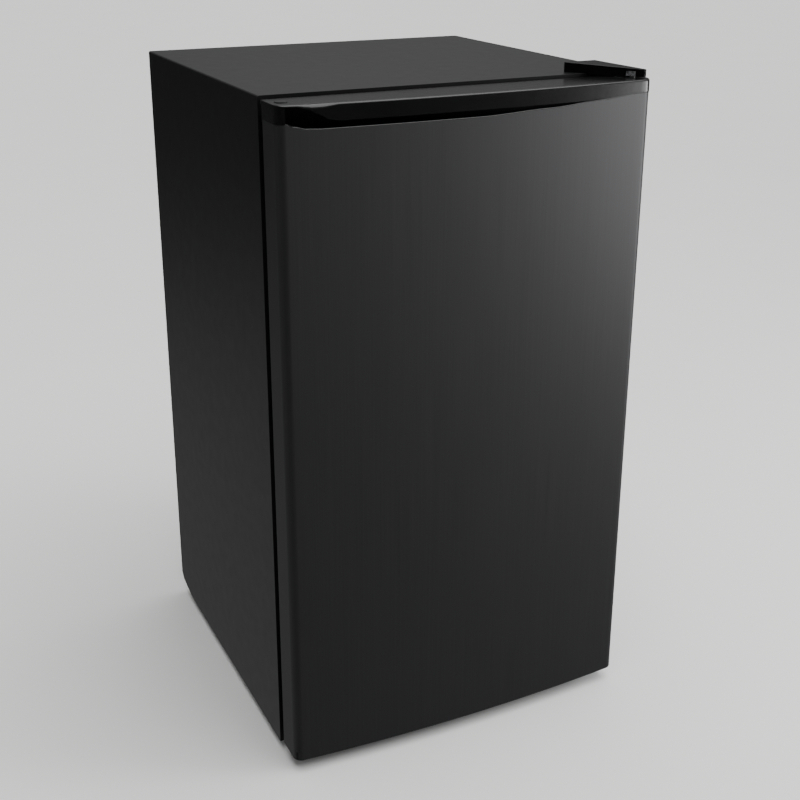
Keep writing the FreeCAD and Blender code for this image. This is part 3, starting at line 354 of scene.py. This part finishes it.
# %% [markdown]
# Feet, gland, relay cover and pan are polypropylene or nylon with a moulded grain. The drain tube is the
# same plastic in grey. Polyurethane foam, seen only where the casing is open, is cream and pitted.

# %% Engineering plastics and foam
nylon, shader = surface("nylon_black_moulded", IOR=1.53)
tint(nylon, shader, grain(nylon, 60), "#141414", "#1d1d1d")
vary(nylon, shader, "Roughness", grain(nylon, 300), 0.42, 0.56)
relief(nylon, shader, grain(nylon, 1200, detail=1), 0.00003)
grey_pp, shader = surface("polypropylene_grey", IOR=1.49)
tint(grey_pp, shader, grain(grey_pp, 50), "#b4b6b6", "#c2c4c4")
vary(grey_pp, shader, "Roughness", grain(grey_pp, 200), 0.4, 0.5)
pu_foam, shader = surface("polyurethane_foam_cream", Roughness=0.9)
tint(pu_foam, shader, grain(pu_foam, 120), "#d8c492", "#e8d8ab")
relief(pu_foam, shader, grain(pu_foam, 900), 0.0006)

# %% [markdown]
# The floor is pale matt paper. A very slight mottle keeps it from looking like empty space.

# %% Studio paper
studio_paper, shader = surface("studio_paper_pale", Roughness=0.9)
tint(studio_paper, shader, grain(studio_paper, 3), "#f1f1f0", "#f5f5f4")
floor.data.materials.append(studio_paper)
print("materials:", len(bpy.data.materials))

# %% [markdown]
# Shaping helpers. An operator works on whatever is selected, so each step first deselects all and then
# picks faces, edges or points by where they are.

# %% Shaping helpers


def only(piece):
    """Make one object the only selected and the active one."""
    bpy.ops.object.select_all(action="DESELECT")
    piece.select_set(True)
    bpy.context.view_layer.objects.active = piece


@contextmanager
def editing(piece, kind, wanted):
    """Edit mode, with the points, edges or faces that wanted() accepts selected."""
    only(piece)
    mesh = piece.data
    for items in (mesh.vertices, mesh.edges, mesh.polygons):
        items.foreach_set("select", [False] * len(items))
    bpy.context.tool_settings.mesh_select_mode = (kind == "VERT", kind == "EDGE", kind == "FACE")
    if kind == "VERT":
        for point in mesh.vertices:
            point.select = wanted(point.co)
    elif kind == "EDGE":
        for edge in mesh.edges:
            edge.select = wanted(*(mesh.vertices[i].co for i in edge.vertices))
    else:
        for face in mesh.polygons:
            face.select = wanted(face.center, face.normal)
    bpy.ops.object.mode_set(mode="EDIT")
    yield
    bpy.ops.object.mode_set(mode="OBJECT")


def block(name, low, high):
    """A cube primitive stretched between two corners; the start of a shaped piece."""
    bpy.ops.object.select_all(action="DESELECT")
    middle = (Vector(low) + Vector(high)) / 2
    bpy.ops.mesh.primitive_cube_add(size=1, location=middle, scale=Vector(high) - Vector(low))
    piece = bpy.context.object
    piece.name = name
    bpy.ops.object.transform_apply(location=True, rotation=True, scale=True)
    return piece


def modify(piece, kind, **settings):
    """Add a modifier with its settings and apply it."""
    only(piece)
    modifier = piece.modifiers.new(kind.lower(), kind)
    for name, value in settings.items():
        setattr(modifier, name, value)
    bpy.ops.object.modifier_apply(modifier=modifier.name)
    return piece


def soft_edges(piece, width, segments=3, angle=32):
    """Round every edge that turns by more than an angle."""
    modify(
        piece, "BEVEL", width=width, segments=segments, limit_method="ANGLE",
        angle_limit=math.radians(angle), use_clamp_overlap=True, harden_normals=False,
    )
    return piece


def finish(piece, body, material, slot, *nodes, smooth=30):
    """Shade the piece, give it its material, and let it ride on a body in place of its CAD nodes."""
    only(piece)
    bpy.ops.object.shade_smooth_by_angle(angle=math.radians(smooth))
    modify(piece, "WEIGHTED_NORMAL", keep_sharp=True)
    piece.data.materials.clear()
    piece.data.materials.append(material)
    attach(piece, body)
    if nodes:
        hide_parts(*nodes)
    print(piece.name, len(piece.data.polygons), "faces")
    return piece


def outward(piece):
    """Merge doubles and turn every face outwards."""
    with editing(piece, "FACE", lambda centre, normal: True):
        bpy.ops.mesh.remove_doubles(threshold=0.00001)
        bpy.ops.mesh.normals_make_consistent(inside=False)
    return piece


# %% [markdown]
# The casing is one sheet folded into a U, with a narrow flange turned in along its front edges. By hand
# it would be cut, bent and spot welded; here a block has its lower rear corners cut to the slant that
# clears the skirting board, loses its open faces, and is given the sheet's thickness last.

# %% Casing
SHEET = 0.7 * MM
NEAR = MM / 10
REAR = WRAP[1].y
FLANGE = 24 * MM
casing = block("casing_sheet", WRAP[0], WRAP[1])
SLANTS = (
    ((0, REAR - 55 * MM, WRAP[0].z), Vector((0, 10, -47)).normalized()),
    ((0, REAR - 8 * MM, WRAP[0].z + 10 * MM), Vector((0, 10, -8)).normalized()),
)
for place, away in SLANTS:
    with editing(casing, "FACE", lambda centre, normal: True):
        bpy.ops.mesh.bisect(plane_co=place, plane_no=away, clear_outer=True)
with editing(casing, "FACE", lambda c, n: abs(n.y) > 0.9 or n.z < -0.9):
    bpy.ops.mesh.delete(type="FACE")


def upper_fold(a, b):
    return abs(a.x) > HALF / 2 and min(a.z, b.z) > TOP - MM and abs(a.x - b.x) < MM


with editing(casing, "EDGE", upper_fold):
    bpy.ops.mesh.bevel(offset=2.2 * MM, segments=4)


def front_rim(a, b):
    return abs(a.y - FRONT) < NEAR and abs(b.y - FRONT) < NEAR


def top_flange(p):
    return abs(p.y - FRONT) < NEAR and abs(p.x) < HALF - FLANGE / 2 and p.z > TOP - 4 * MM


with editing(casing, "EDGE", front_rim):
    bpy.ops.mesh.extrude_edges_move()
    bpy.ops.transform.resize(value=(1 - FLANGE / HALF, 1, 1), center_override=(0, FRONT, 0))
with editing(casing, "VERT", top_flange):
    bpy.ops.transform.translate(value=(0, 0, -FLANGE))
modify(casing, "SOLIDIFY", thickness=SHEET, offset=-1)
soft_edges(casing, 0.25 * MM, 2, 50)
finish(casing, "cabinet", casing_paint, "casing_black", "outer_wrap")

# %% [markdown]
# Everything on the door follows one plan line: flat sides, 10 mm rounded upright edges and a front that
# swells by 10 mm in the middle. It is written once, and the steel, the handle cap and the door's foam
# all read it.

# %% The door's plan line
BOW = 10 * MM
CORNER = 10 * MM
FACE = DOOR[0].y + BOW
DOOR_BACK = DOOR[1].y
DOOR_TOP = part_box("door_top_trim")[1].z


def front_at(x, half):
    """The door's front at a distance from the middle, its rounded ends included."""
    swell = BOW * (1 - (x / half) ** 2)
    edge = max(0.0, abs(x) - (half - CORNER))
    return FACE - swell + CORNER - math.sqrt(max(0.0, CORNER**2 - edge**2))


def stations(half, middle_steps):
    """Distances from the middle at which the front is drawn, closer together round the ends."""
    ends = [half - CORNER * (1 - math.sin(math.radians(90 * i / 7))) for i in range(8)]
    inner = [(-1 + 2 * i / middle_steps) * (half - CORNER) for i in range(1, middle_steps)]
    return [-x for x in reversed(ends)] + inner + ends


def smooth_through(points, x):
    """A gentle curve through points given as (x, value), flat beyond its ends."""
    if x <= points[0][0]:
        return points[0][1]
    for (ax, av), (bx, bv) in zip(points, points[1:]):
        if x <= bx:
            share = (x - ax) / (bx - ax)
            share = share * share * (3 - 2 * share)
            return av + (bv - av) * share
    return points[-1][1]


def seam_at(x):
    """Height of the seam between handle cap and steel: it dips under the scoop and climbs to the right."""
    line = [(-227, 809), (-216, 805.5), (-203, 802.8), (-186, 802), (0, 802.2), (90, 805.5), (165, 810)]
    line += [(215, 813.4), (229, 813.4)]
    return smooth_through([(a * MM, b * MM) for a, b in line], x)


def loft(name, columns, closed):
    """A mesh drawn column by column: each column is a list of points, joined to the next one."""
    made = bmesh.new()
    rows = [[made.verts.new(point) for point in column] for column in columns]
    count = len(rows[0])
    for first, second in zip(rows, rows[1:]):
        for i in range(count if closed else count - 1):
            j = (i + 1) % count
            made.faces.new((first[i], first[j], second[j], second[i]))
    if closed:
        made.faces.new(rows[0])
        made.faces.new(list(reversed(rows[-1])))
    mesh = bpy.data.meshes.new(name)
    made.to_mesh(mesh)
    made.free()
    piece = bpy.data.objects.new(name, mesh)
    bpy.context.scene.collection.objects.link(piece)
    return outward(piece)


# %% Door steel sheet
SHEET_HALF = HALF - 0.5 * MM
RETURN = 12 * MM
plan = [(-SHEET_HALF + RETURN, DOOR_BACK), (-SHEET_HALF, DOOR_BACK)]
plan += [(x, front_at(x, SHEET_HALF)) for x in stations(SHEET_HALF, 40)]
plan += [(SHEET_HALF, DOOR_BACK), (SHEET_HALF - RETURN, DOOR_BACK)]
columns = [[(x, y, DOOR[0].z), (x, y, seam_at(x) - 0.2 * MM)] for x, y in plan]
door_sheet = loft("door_sheet", columns, closed=False)
modify(door_sheet, "SOLIDIFY", thickness=SHEET, offset=-1)
soft_edges(door_sheet, 0.25 * MM, 2, 50)
finish(door_sheet, "door", door_steel, "door_black", "door_skin")

# %% [markdown]
# The handle cap is the piece a hand meets. Its roof runs over the whole door. On the left its front edge
# droops into a tongue, and the opening under it is deep enough for fingers; to the right the opening
# narrows and ends as a shallow groove at the seam. It is drawn as upright slices, one every few
# millimetres, because each slice has the same points and only their places change.

# %% Handle cap
ROOF = DOOR_TOP
SCOOP_LEFT = -226 * MM


def rim_at(x):
    """Lower edge of the lip: high over the scoop, down in an S, then straight."""
    line = [(-226, 826.5), (-214, 826), (-202, 823.5), (-190, 818), (-178, 811.6), (-166, 810), (120, 810)]
    line += [(166, 810.4)]
    return smooth_through([(a * MM, b * MM) for a, b in line], x)


def depth_at(x):
    """How far the opening reaches behind the door's front."""
    line = [(-226, 29), (-120, 29), (60, 9), (166, 0.4)]
    return smooth_through([(a * MM, b * MM) for a, b in line], x)


def edge_radius(x):
    """Radius of the roof's front edge: larger where the roof droops towards the tongue."""
    line = [(-236, 2.5), (-224, 2.5), (-200, 6.5), (-186, 6.5), (-165, 3), (236, 3)]
    return smooth_through([(a * MM, b * MM) for a, b in line], x)


def cap_slice(x, opened):
    """The cap's outline at one distance from the middle, with the finger opening or without it."""
    front = front_at(x, HALF)
    low = seam_at(x)
    radius = edge_radius(x)
    rim = max(rim_at(x), low + 1.2 * MM)
    deep = depth_at(x) if opened else 0.0
    lip = min(3.2 * MM, deep)
    roof_low = max(rim, min(ROOF - 3 * MM, rim + deep * 0.9))
    radius = min(radius, ROOF - rim - 0.3 * MM)
    points = [(x, DOOR_BACK, low), (x, DOOR_BACK, ROOF - 4 * MM), (x, FRONT - 8 * MM, ROOF - 4 * MM)]
    points += [(x, FRONT - 8 * MM, ROOF - 0.8 * MM), (x, FRONT - 8.8 * MM, ROOF)]
    for step in range(7):
        turn = math.radians(90 * step / 6)
        points.append((x, front + radius * (1 - math.sin(turn)), ROOF - radius * (1 - math.cos(turn))))
    floor_z = low + 0.7 * MM
    points += [(x, front, rim + 0.4 * MM), (x, front + min(0.4 * MM, lip / 3), rim), (x, front + lip, rim)]
    points += [(x, front + lip, roof_low), (x, front + deep, roof_low), (x, front + deep, floor_z)]
    points += [(x, front + min(0.5 * MM, deep), floor_z), (x, front, floor_z - 0.5 * MM), (x, front, low)]
    return points


xs = set(stations(HALF, 60) + [SCOOP_LEFT + i * 2 * MM for i in range(1, 32)])
left_of = [cap_slice(x, False) for x in sorted(xs) if x < SCOOP_LEFT - 0.4 * MM]
right_of = [cap_slice(x, True) for x in sorted(xs) if x > SCOOP_LEFT + 0.4 * MM]
wall = [cap_slice(SCOOP_LEFT, False), cap_slice(SCOOP_LEFT + 0.02 * MM, True)]
handle_cap = loft("handle_cap", left_of + wall + right_of, closed=True)
finish(handle_cap, "door", black_abs, "trim_black", "door_top_trim")

# %% [markdown]
# Foam fills the door between the steel and the inner panel. It is never seen whole, but it shows where a
# gap opens, so it follows the same plan line, 1 mm inside the steel at the sides and 1.5 mm in front.

# %% Door foam
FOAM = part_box("door_foam")
FOAM_HALF = SHEET_HALF - 1 * MM
foam_back = DOOR_BACK - 2.2 * MM
plan = [(-FOAM_HALF, foam_back)]
plan += [(x, front_at(x, FOAM_HALF) + 1.5 * MM) for x in stations(FOAM_HALF, 24)]
plan += [(FOAM_HALF, foam_back)]
made = bmesh.new()
low_ring = [made.verts.new((x, y, FOAM[0].z)) for x, y in plan]
high_ring = [made.verts.new((x, y, FOAM[1].z - 2 * MM)) for x, y in plan]
for i in range(len(plan)):
    j = (i + 1) % len(plan)
    made.faces.new((low_ring[i], low_ring[j], high_ring[j], high_ring[i]))
made.faces.new(low_ring)
made.faces.new(high_ring)
mesh = bpy.data.meshes.new("door_filling")
made.to_mesh(mesh)
made.free()
door_filling = bpy.data.objects.new("door_filling", mesh)
bpy.context.scene.collection.objects.link(door_filling)
outward(door_filling)
finish(door_filling, "door", pu_foam, "foam", "door_foam")

# %% [markdown]
# The food compartment is one sheet of polystyrene sucked into a mould, so its corners are round, 14 mm
# here, and it steps up at the back over the compressor. A block is split where the step begins, its front
# part is drawn down to the floor, the open side is removed, the corners are bevelled and the front rim is
# drawn out sideways under the casing's flange. Solidify then gives it its wall.

# %% Food compartment
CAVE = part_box("inner_liner")
WALL = 1.5 * MM
CAVE_X = HALF - 38 * MM - WALL
STEP_Y, STEP_Z = CAVE[1].y - 149 * MM - WALL, 248.5 * MM
CAVE_LOW, CAVE_TOP = 68.5 * MM, TOP - 38 * MM - WALL
RIM_Y = CAVE[0].y + WALL
liner = block("food_compartment", (-CAVE_X, RIM_Y, STEP_Z), (CAVE_X, CAVE[1].y - WALL, CAVE_TOP))
with editing(liner, "FACE", lambda centre, normal: True):
    bpy.ops.mesh.bisect(plane_co=(0, STEP_Y, 0), plane_no=(0, 1, 0))
with editing(liner, "FACE", lambda c, n: n.z < -0.9 and c.y < STEP_Y):
    bpy.ops.mesh.extrude_region_move(TRANSFORM_OT_translate={"value": (0, 0, CAVE_LOW - STEP_Z)})
with editing(liner, "FACE", lambda c, n: n.y < -0.9 and c.y < RIM_Y + MM):
    bpy.ops.mesh.delete(type="FACE")
with editing(liner, "EDGE", lambda a, b: not (a.y < RIM_Y + MM and b.y < RIM_Y + MM)):
    bpy.ops.mesh.bevel(offset=14 * MM, segments=5)
with editing(liner, "EDGE", lambda a, b: max(a.y, b.y) < RIM_Y + NEAR):
    bpy.ops.mesh.extrude_edges_move()
    bpy.ops.transform.resize(value=(1.17, 1, 1.08), center_override=(0, RIM_Y, (CAVE_LOW + CAVE_TOP) / 2))
outward(liner)
modify(liner, "SOLIDIFY", thickness=WALL, offset=1, use_even_offset=True)
finish(liner, "cabinet", white_hips, "liner_white", "inner_liner")

# %% [markdown]
# The door's inner panel is drawn over a mould too. Its middle stands forward into the cabinet, and two
# upright ridges beside it carry the racks. Cuts across a thin block mark out the raised part, which is
# drawn out; more cuts mark the ridges on it, which are drawn out further.

# %% Door inner panel
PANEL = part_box("door_liner")
PAN_X = 188 * MM
RIDGE = 24 * MM
panel_y = DOOR_BACK - 2 * MM
skin_y = DOOR_BACK - 0.7 * MM
inner_panel = block("door_inner_panel", (PANEL[0].x, panel_y, PANEL[0].z), (PANEL[1].x, skin_y, PANEL[1].z))
PAN_LOW, PAN_TOP = 82 * MM, 780 * MM
RIDGE_LOW, RIDGE_TOP = 90 * MM, 640 * MM
RIDGE_IN = PAN_X - RIDGE


def mark_out(wanted, across, low, top):
    """Cut the chosen faces along two upright and two level lines."""
    for place, along in (((across, 0, 0), (1, 0, 0)), ((-across, 0, 0), (1, 0, 0)), ((0, 0, low), (0, 0, 1)),
                         ((0, 0, top), (0, 0, 1))):
        with editing(inner_panel, "FACE", wanted):
            bpy.ops.mesh.bisect(plane_co=place, plane_no=along)


def pan_face(c, n):
    return n.y > 0.9 and abs(c.x) < PAN_X and PAN_LOW < c.z < PAN_TOP


def ridge_face(c, n):
    return n.y > 0.9 and RIDGE_IN < abs(c.x) < PAN_X and RIDGE_LOW < c.z < RIDGE_TOP


mark_out(lambda centre, normal: True, PAN_X, PAN_LOW, PAN_TOP)
with editing(inner_panel, "FACE", pan_face):
    bpy.ops.mesh.extrude_region_move(TRANSFORM_OT_translate={"value": (0, FRONT + 8 * MM - skin_y, 0)})
mark_out(lambda centre, normal: centre.y > DOOR_BACK, RIDGE_IN, RIDGE_LOW, RIDGE_TOP)
with editing(inner_panel, "FACE", ridge_face):
    bpy.ops.mesh.extrude_region_move(TRANSFORM_OT_translate={"value": (0, 28 * MM, 0)})
soft_edges(inner_panel, 5 * MM, 4, 40)
finish(inner_panel, "door", white_hips, "liner_white", "door_liner")

# %% [markdown]
# The three racks are one kind of moulding in different sizes: an open box with round corners, thin walls
# and softly rounded edges.

# %% Door racks


def rack(node):
    """An open box with round corners in place of one rack."""
    low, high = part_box(node)
    piece = block(node + "_moulding", low, high)
    with editing(piece, "FACE", lambda c, n: n.z > 0.9):
        bpy.ops.mesh.delete(type="FACE")
    with editing(piece, "EDGE", lambda a, b: abs(a.z - b.z) > MM):
        bpy.ops.mesh.bevel(offset=12 * MM, segments=5)
    with editing(piece, "EDGE", lambda a, b: max(a.z, b.z) < low.z + NEAR):
        bpy.ops.mesh.bevel(offset=3 * MM, segments=3)
    outward(piece)
    modify(piece, "SOLIDIFY", thickness=2 * MM, offset=-1, use_even_offset=True)
    soft_edges(piece, 0.7 * MM, 2, 50)
    return finish(piece, "door", clear_san, "clear_plastic", node)


for node in ("door_rack_upper", "door_rack_middle", "bottle_rack"):
    rack(node)

# %% [markdown]
# The gasket is a soft extruded PVC frame with a magnet in its front tube and a bellows behind it. From a
# flat ring, one groove is pressed in round its outside and another round its inside, in place of the
# folds of the bellows.

# %% Gasket
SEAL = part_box("door_gasket")
SEAL_W = 16 * MM
SEAL_MIDDLE = (SEAL[0].z + SEAL[1].z) / 2
gasket = block("gasket_frame", SEAL[0], SEAL[1])
with editing(gasket, "FACE", lambda c, n: abs(n.y) > 0.9):
    bpy.ops.mesh.inset(thickness=SEAL_W)
with editing(gasket, "FACE", lambda c, n: abs(n.y) > 0.9 and abs(c.x) < MM and abs(c.z - SEAL_MIDDLE) < MM):
    bpy.ops.mesh.bridge_edge_loops()
with editing(gasket, "FACE", lambda c, n: abs(n.y) < 0.1):
    bpy.ops.mesh.inset(thickness=3.2 * MM, depth=-2 * MM, use_even_offset=True)
soft_edges(gasket, 0.8 * MM, 2, 40)
finish(gasket, "door", rubber, "rubber_black", "door_gasket")

# %% [markdown]
# The cover over the upper hinge has a small window in its slanted front. Behind it lies a tab of the plated
# bracket: a thin strip whose right end is pulled forward until it runs along the cover's wall.

# %% Tab behind the hinge cover's window
TAB = [(212.4 * MM, FRONT - 30.2 * MM, 830.6 * MM), (222.2 * MM, FRONT - 29.6 * MM, 837 * MM)]
bracket_tab = block("bracket_tab", *TAB)
with editing(bracket_tab, "VERT", lambda p: p.x > 217 * MM):
    bpy.ops.transform.translate(value=(0, -9.4 * MM, 0))
soft_edges(bracket_tab, 0.1 * MM, 2)
finish(bracket_tab, "cabinet", zinc, "plated_steel")

# %% [markdown]
# The other parts keep the shape they were designed with. A sharp computer edge is what gives a model
# away, though: a real press, saw or mould always leaves a small radius, and that radius is what catches
# the light. Each is copied, its loose triangles are merged, and its edges are rounded by what its making
# would give, from 0.3 mm on cut steel to 1.2 mm on moulded plastic. The bent tubes are round already.

# %% Softened parts


def softened(node, material, slot, width):
    """A merged copy of a designed part, its edges rounded, in place of the original."""
    source = frame["nodes"][node]
    piece = source.copy()
    piece.data = source.data.copy()
    piece.name = node + "_rounded"
    for key in list(piece.keys()):
        del piece[key]
    bpy.context.scene.collection.objects.link(piece)
    with editing(piece, "FACE", lambda centre, normal: True):
        bpy.ops.mesh.remove_doubles(threshold=0.00002)
        bpy.ops.mesh.dissolve_limited(angle_limit=math.radians(1.5))
    if width:
        soft_edges(piece, width * MM, 2, 35)
    return finish(piece, source["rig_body"], material, slot, node)


for slot, material, parts in (
    ("trim_black", black_abs, {"hinge_cover": 1.0, "hinge_hole_plug": 0.35, "door_bottom_trim": 0.5}),
    ("galvanised", galvanised, {"rear_panel": 0.5, "front_crossmember": 0.4, "bottom_panel": 0.3,
                                "compressor_bay_panel": 0.3, "compressor_base_plate": 0.6}),
    ("plated_steel", zinc, {"rear_panel_screws": 0.5, "foot_nuts": 0.4, "compressor_bolts": 0.4,
                            "top_hinge_bracket": 0.3, "top_hinge_screws": 0.6, "bottom_hinge_bracket": 0.5,
                            "bottom_hinge_screws": 0.6}),
    ("liner_white", white_hips, {"shelf_ledges": 1.2, "freezer_frame": 1.2, "freezer_door": 1.0,
                                 "drip_tray": 0.7,
                                 "drip_tray_rails": 0.5, "thermostat_housing": 0.8, "thermostat_knob": 0.8,
                                 "evaporator_spacers": 0.5}),
    ("shelf_trim", white_hips, {"shelf_trim_lower": 0.9, "shelf_trim_upper": 0.9}),
    ("shelf_glass", shelf_glass, {"shelf_glass_lower": 0.8, "shelf_glass_upper": 0.8}),
    ("compressor_black", pump_enamel, {"compressor": 0.8}),
    ("rubber_black", rubber, {"compressor_grommets": 0.8}),
    ("plastic_dark", nylon, {"start_relay_cover": 1.0, "cord_gland": 0.6, "rear_feet": 1.2,
                             "levelling_foot_left": 1.2,
                             "levelling_foot_right": 1.2, "drain_pan": 0.8, "hinge_bush_top": 0.3,
                             "hinge_bush_bottom": 0.3, "thermostat_switch": 0.8}),
    ("drain_plastic", grey_pp, {"drain_tube": 0.4}),
    ("copper", copper, {"filter_drier": 1.6, "discharge_pipe": 0, "suction_pipe": 0, "capillary_tube": 0,
                        "sensing_tube": 0}),
    ("steel_tube", washed_steel, {"condenser_coil_left": 0, "condenser_coil_right": 0}),
    ("aluminium", roll_bond, {"evaporator_box": 0.5}),
):
    for node, width in parts.items():
        softened(node, material, slot, width)

# %% [markdown]
# The cabinet's foam stays as it was designed. It only gets its finish.

# %% Cabinet foam
foam_node = frame["nodes"]["foam_insulation"]
foam_node.data.materials.clear()
foam_node.data.materials.append(pu_foam)
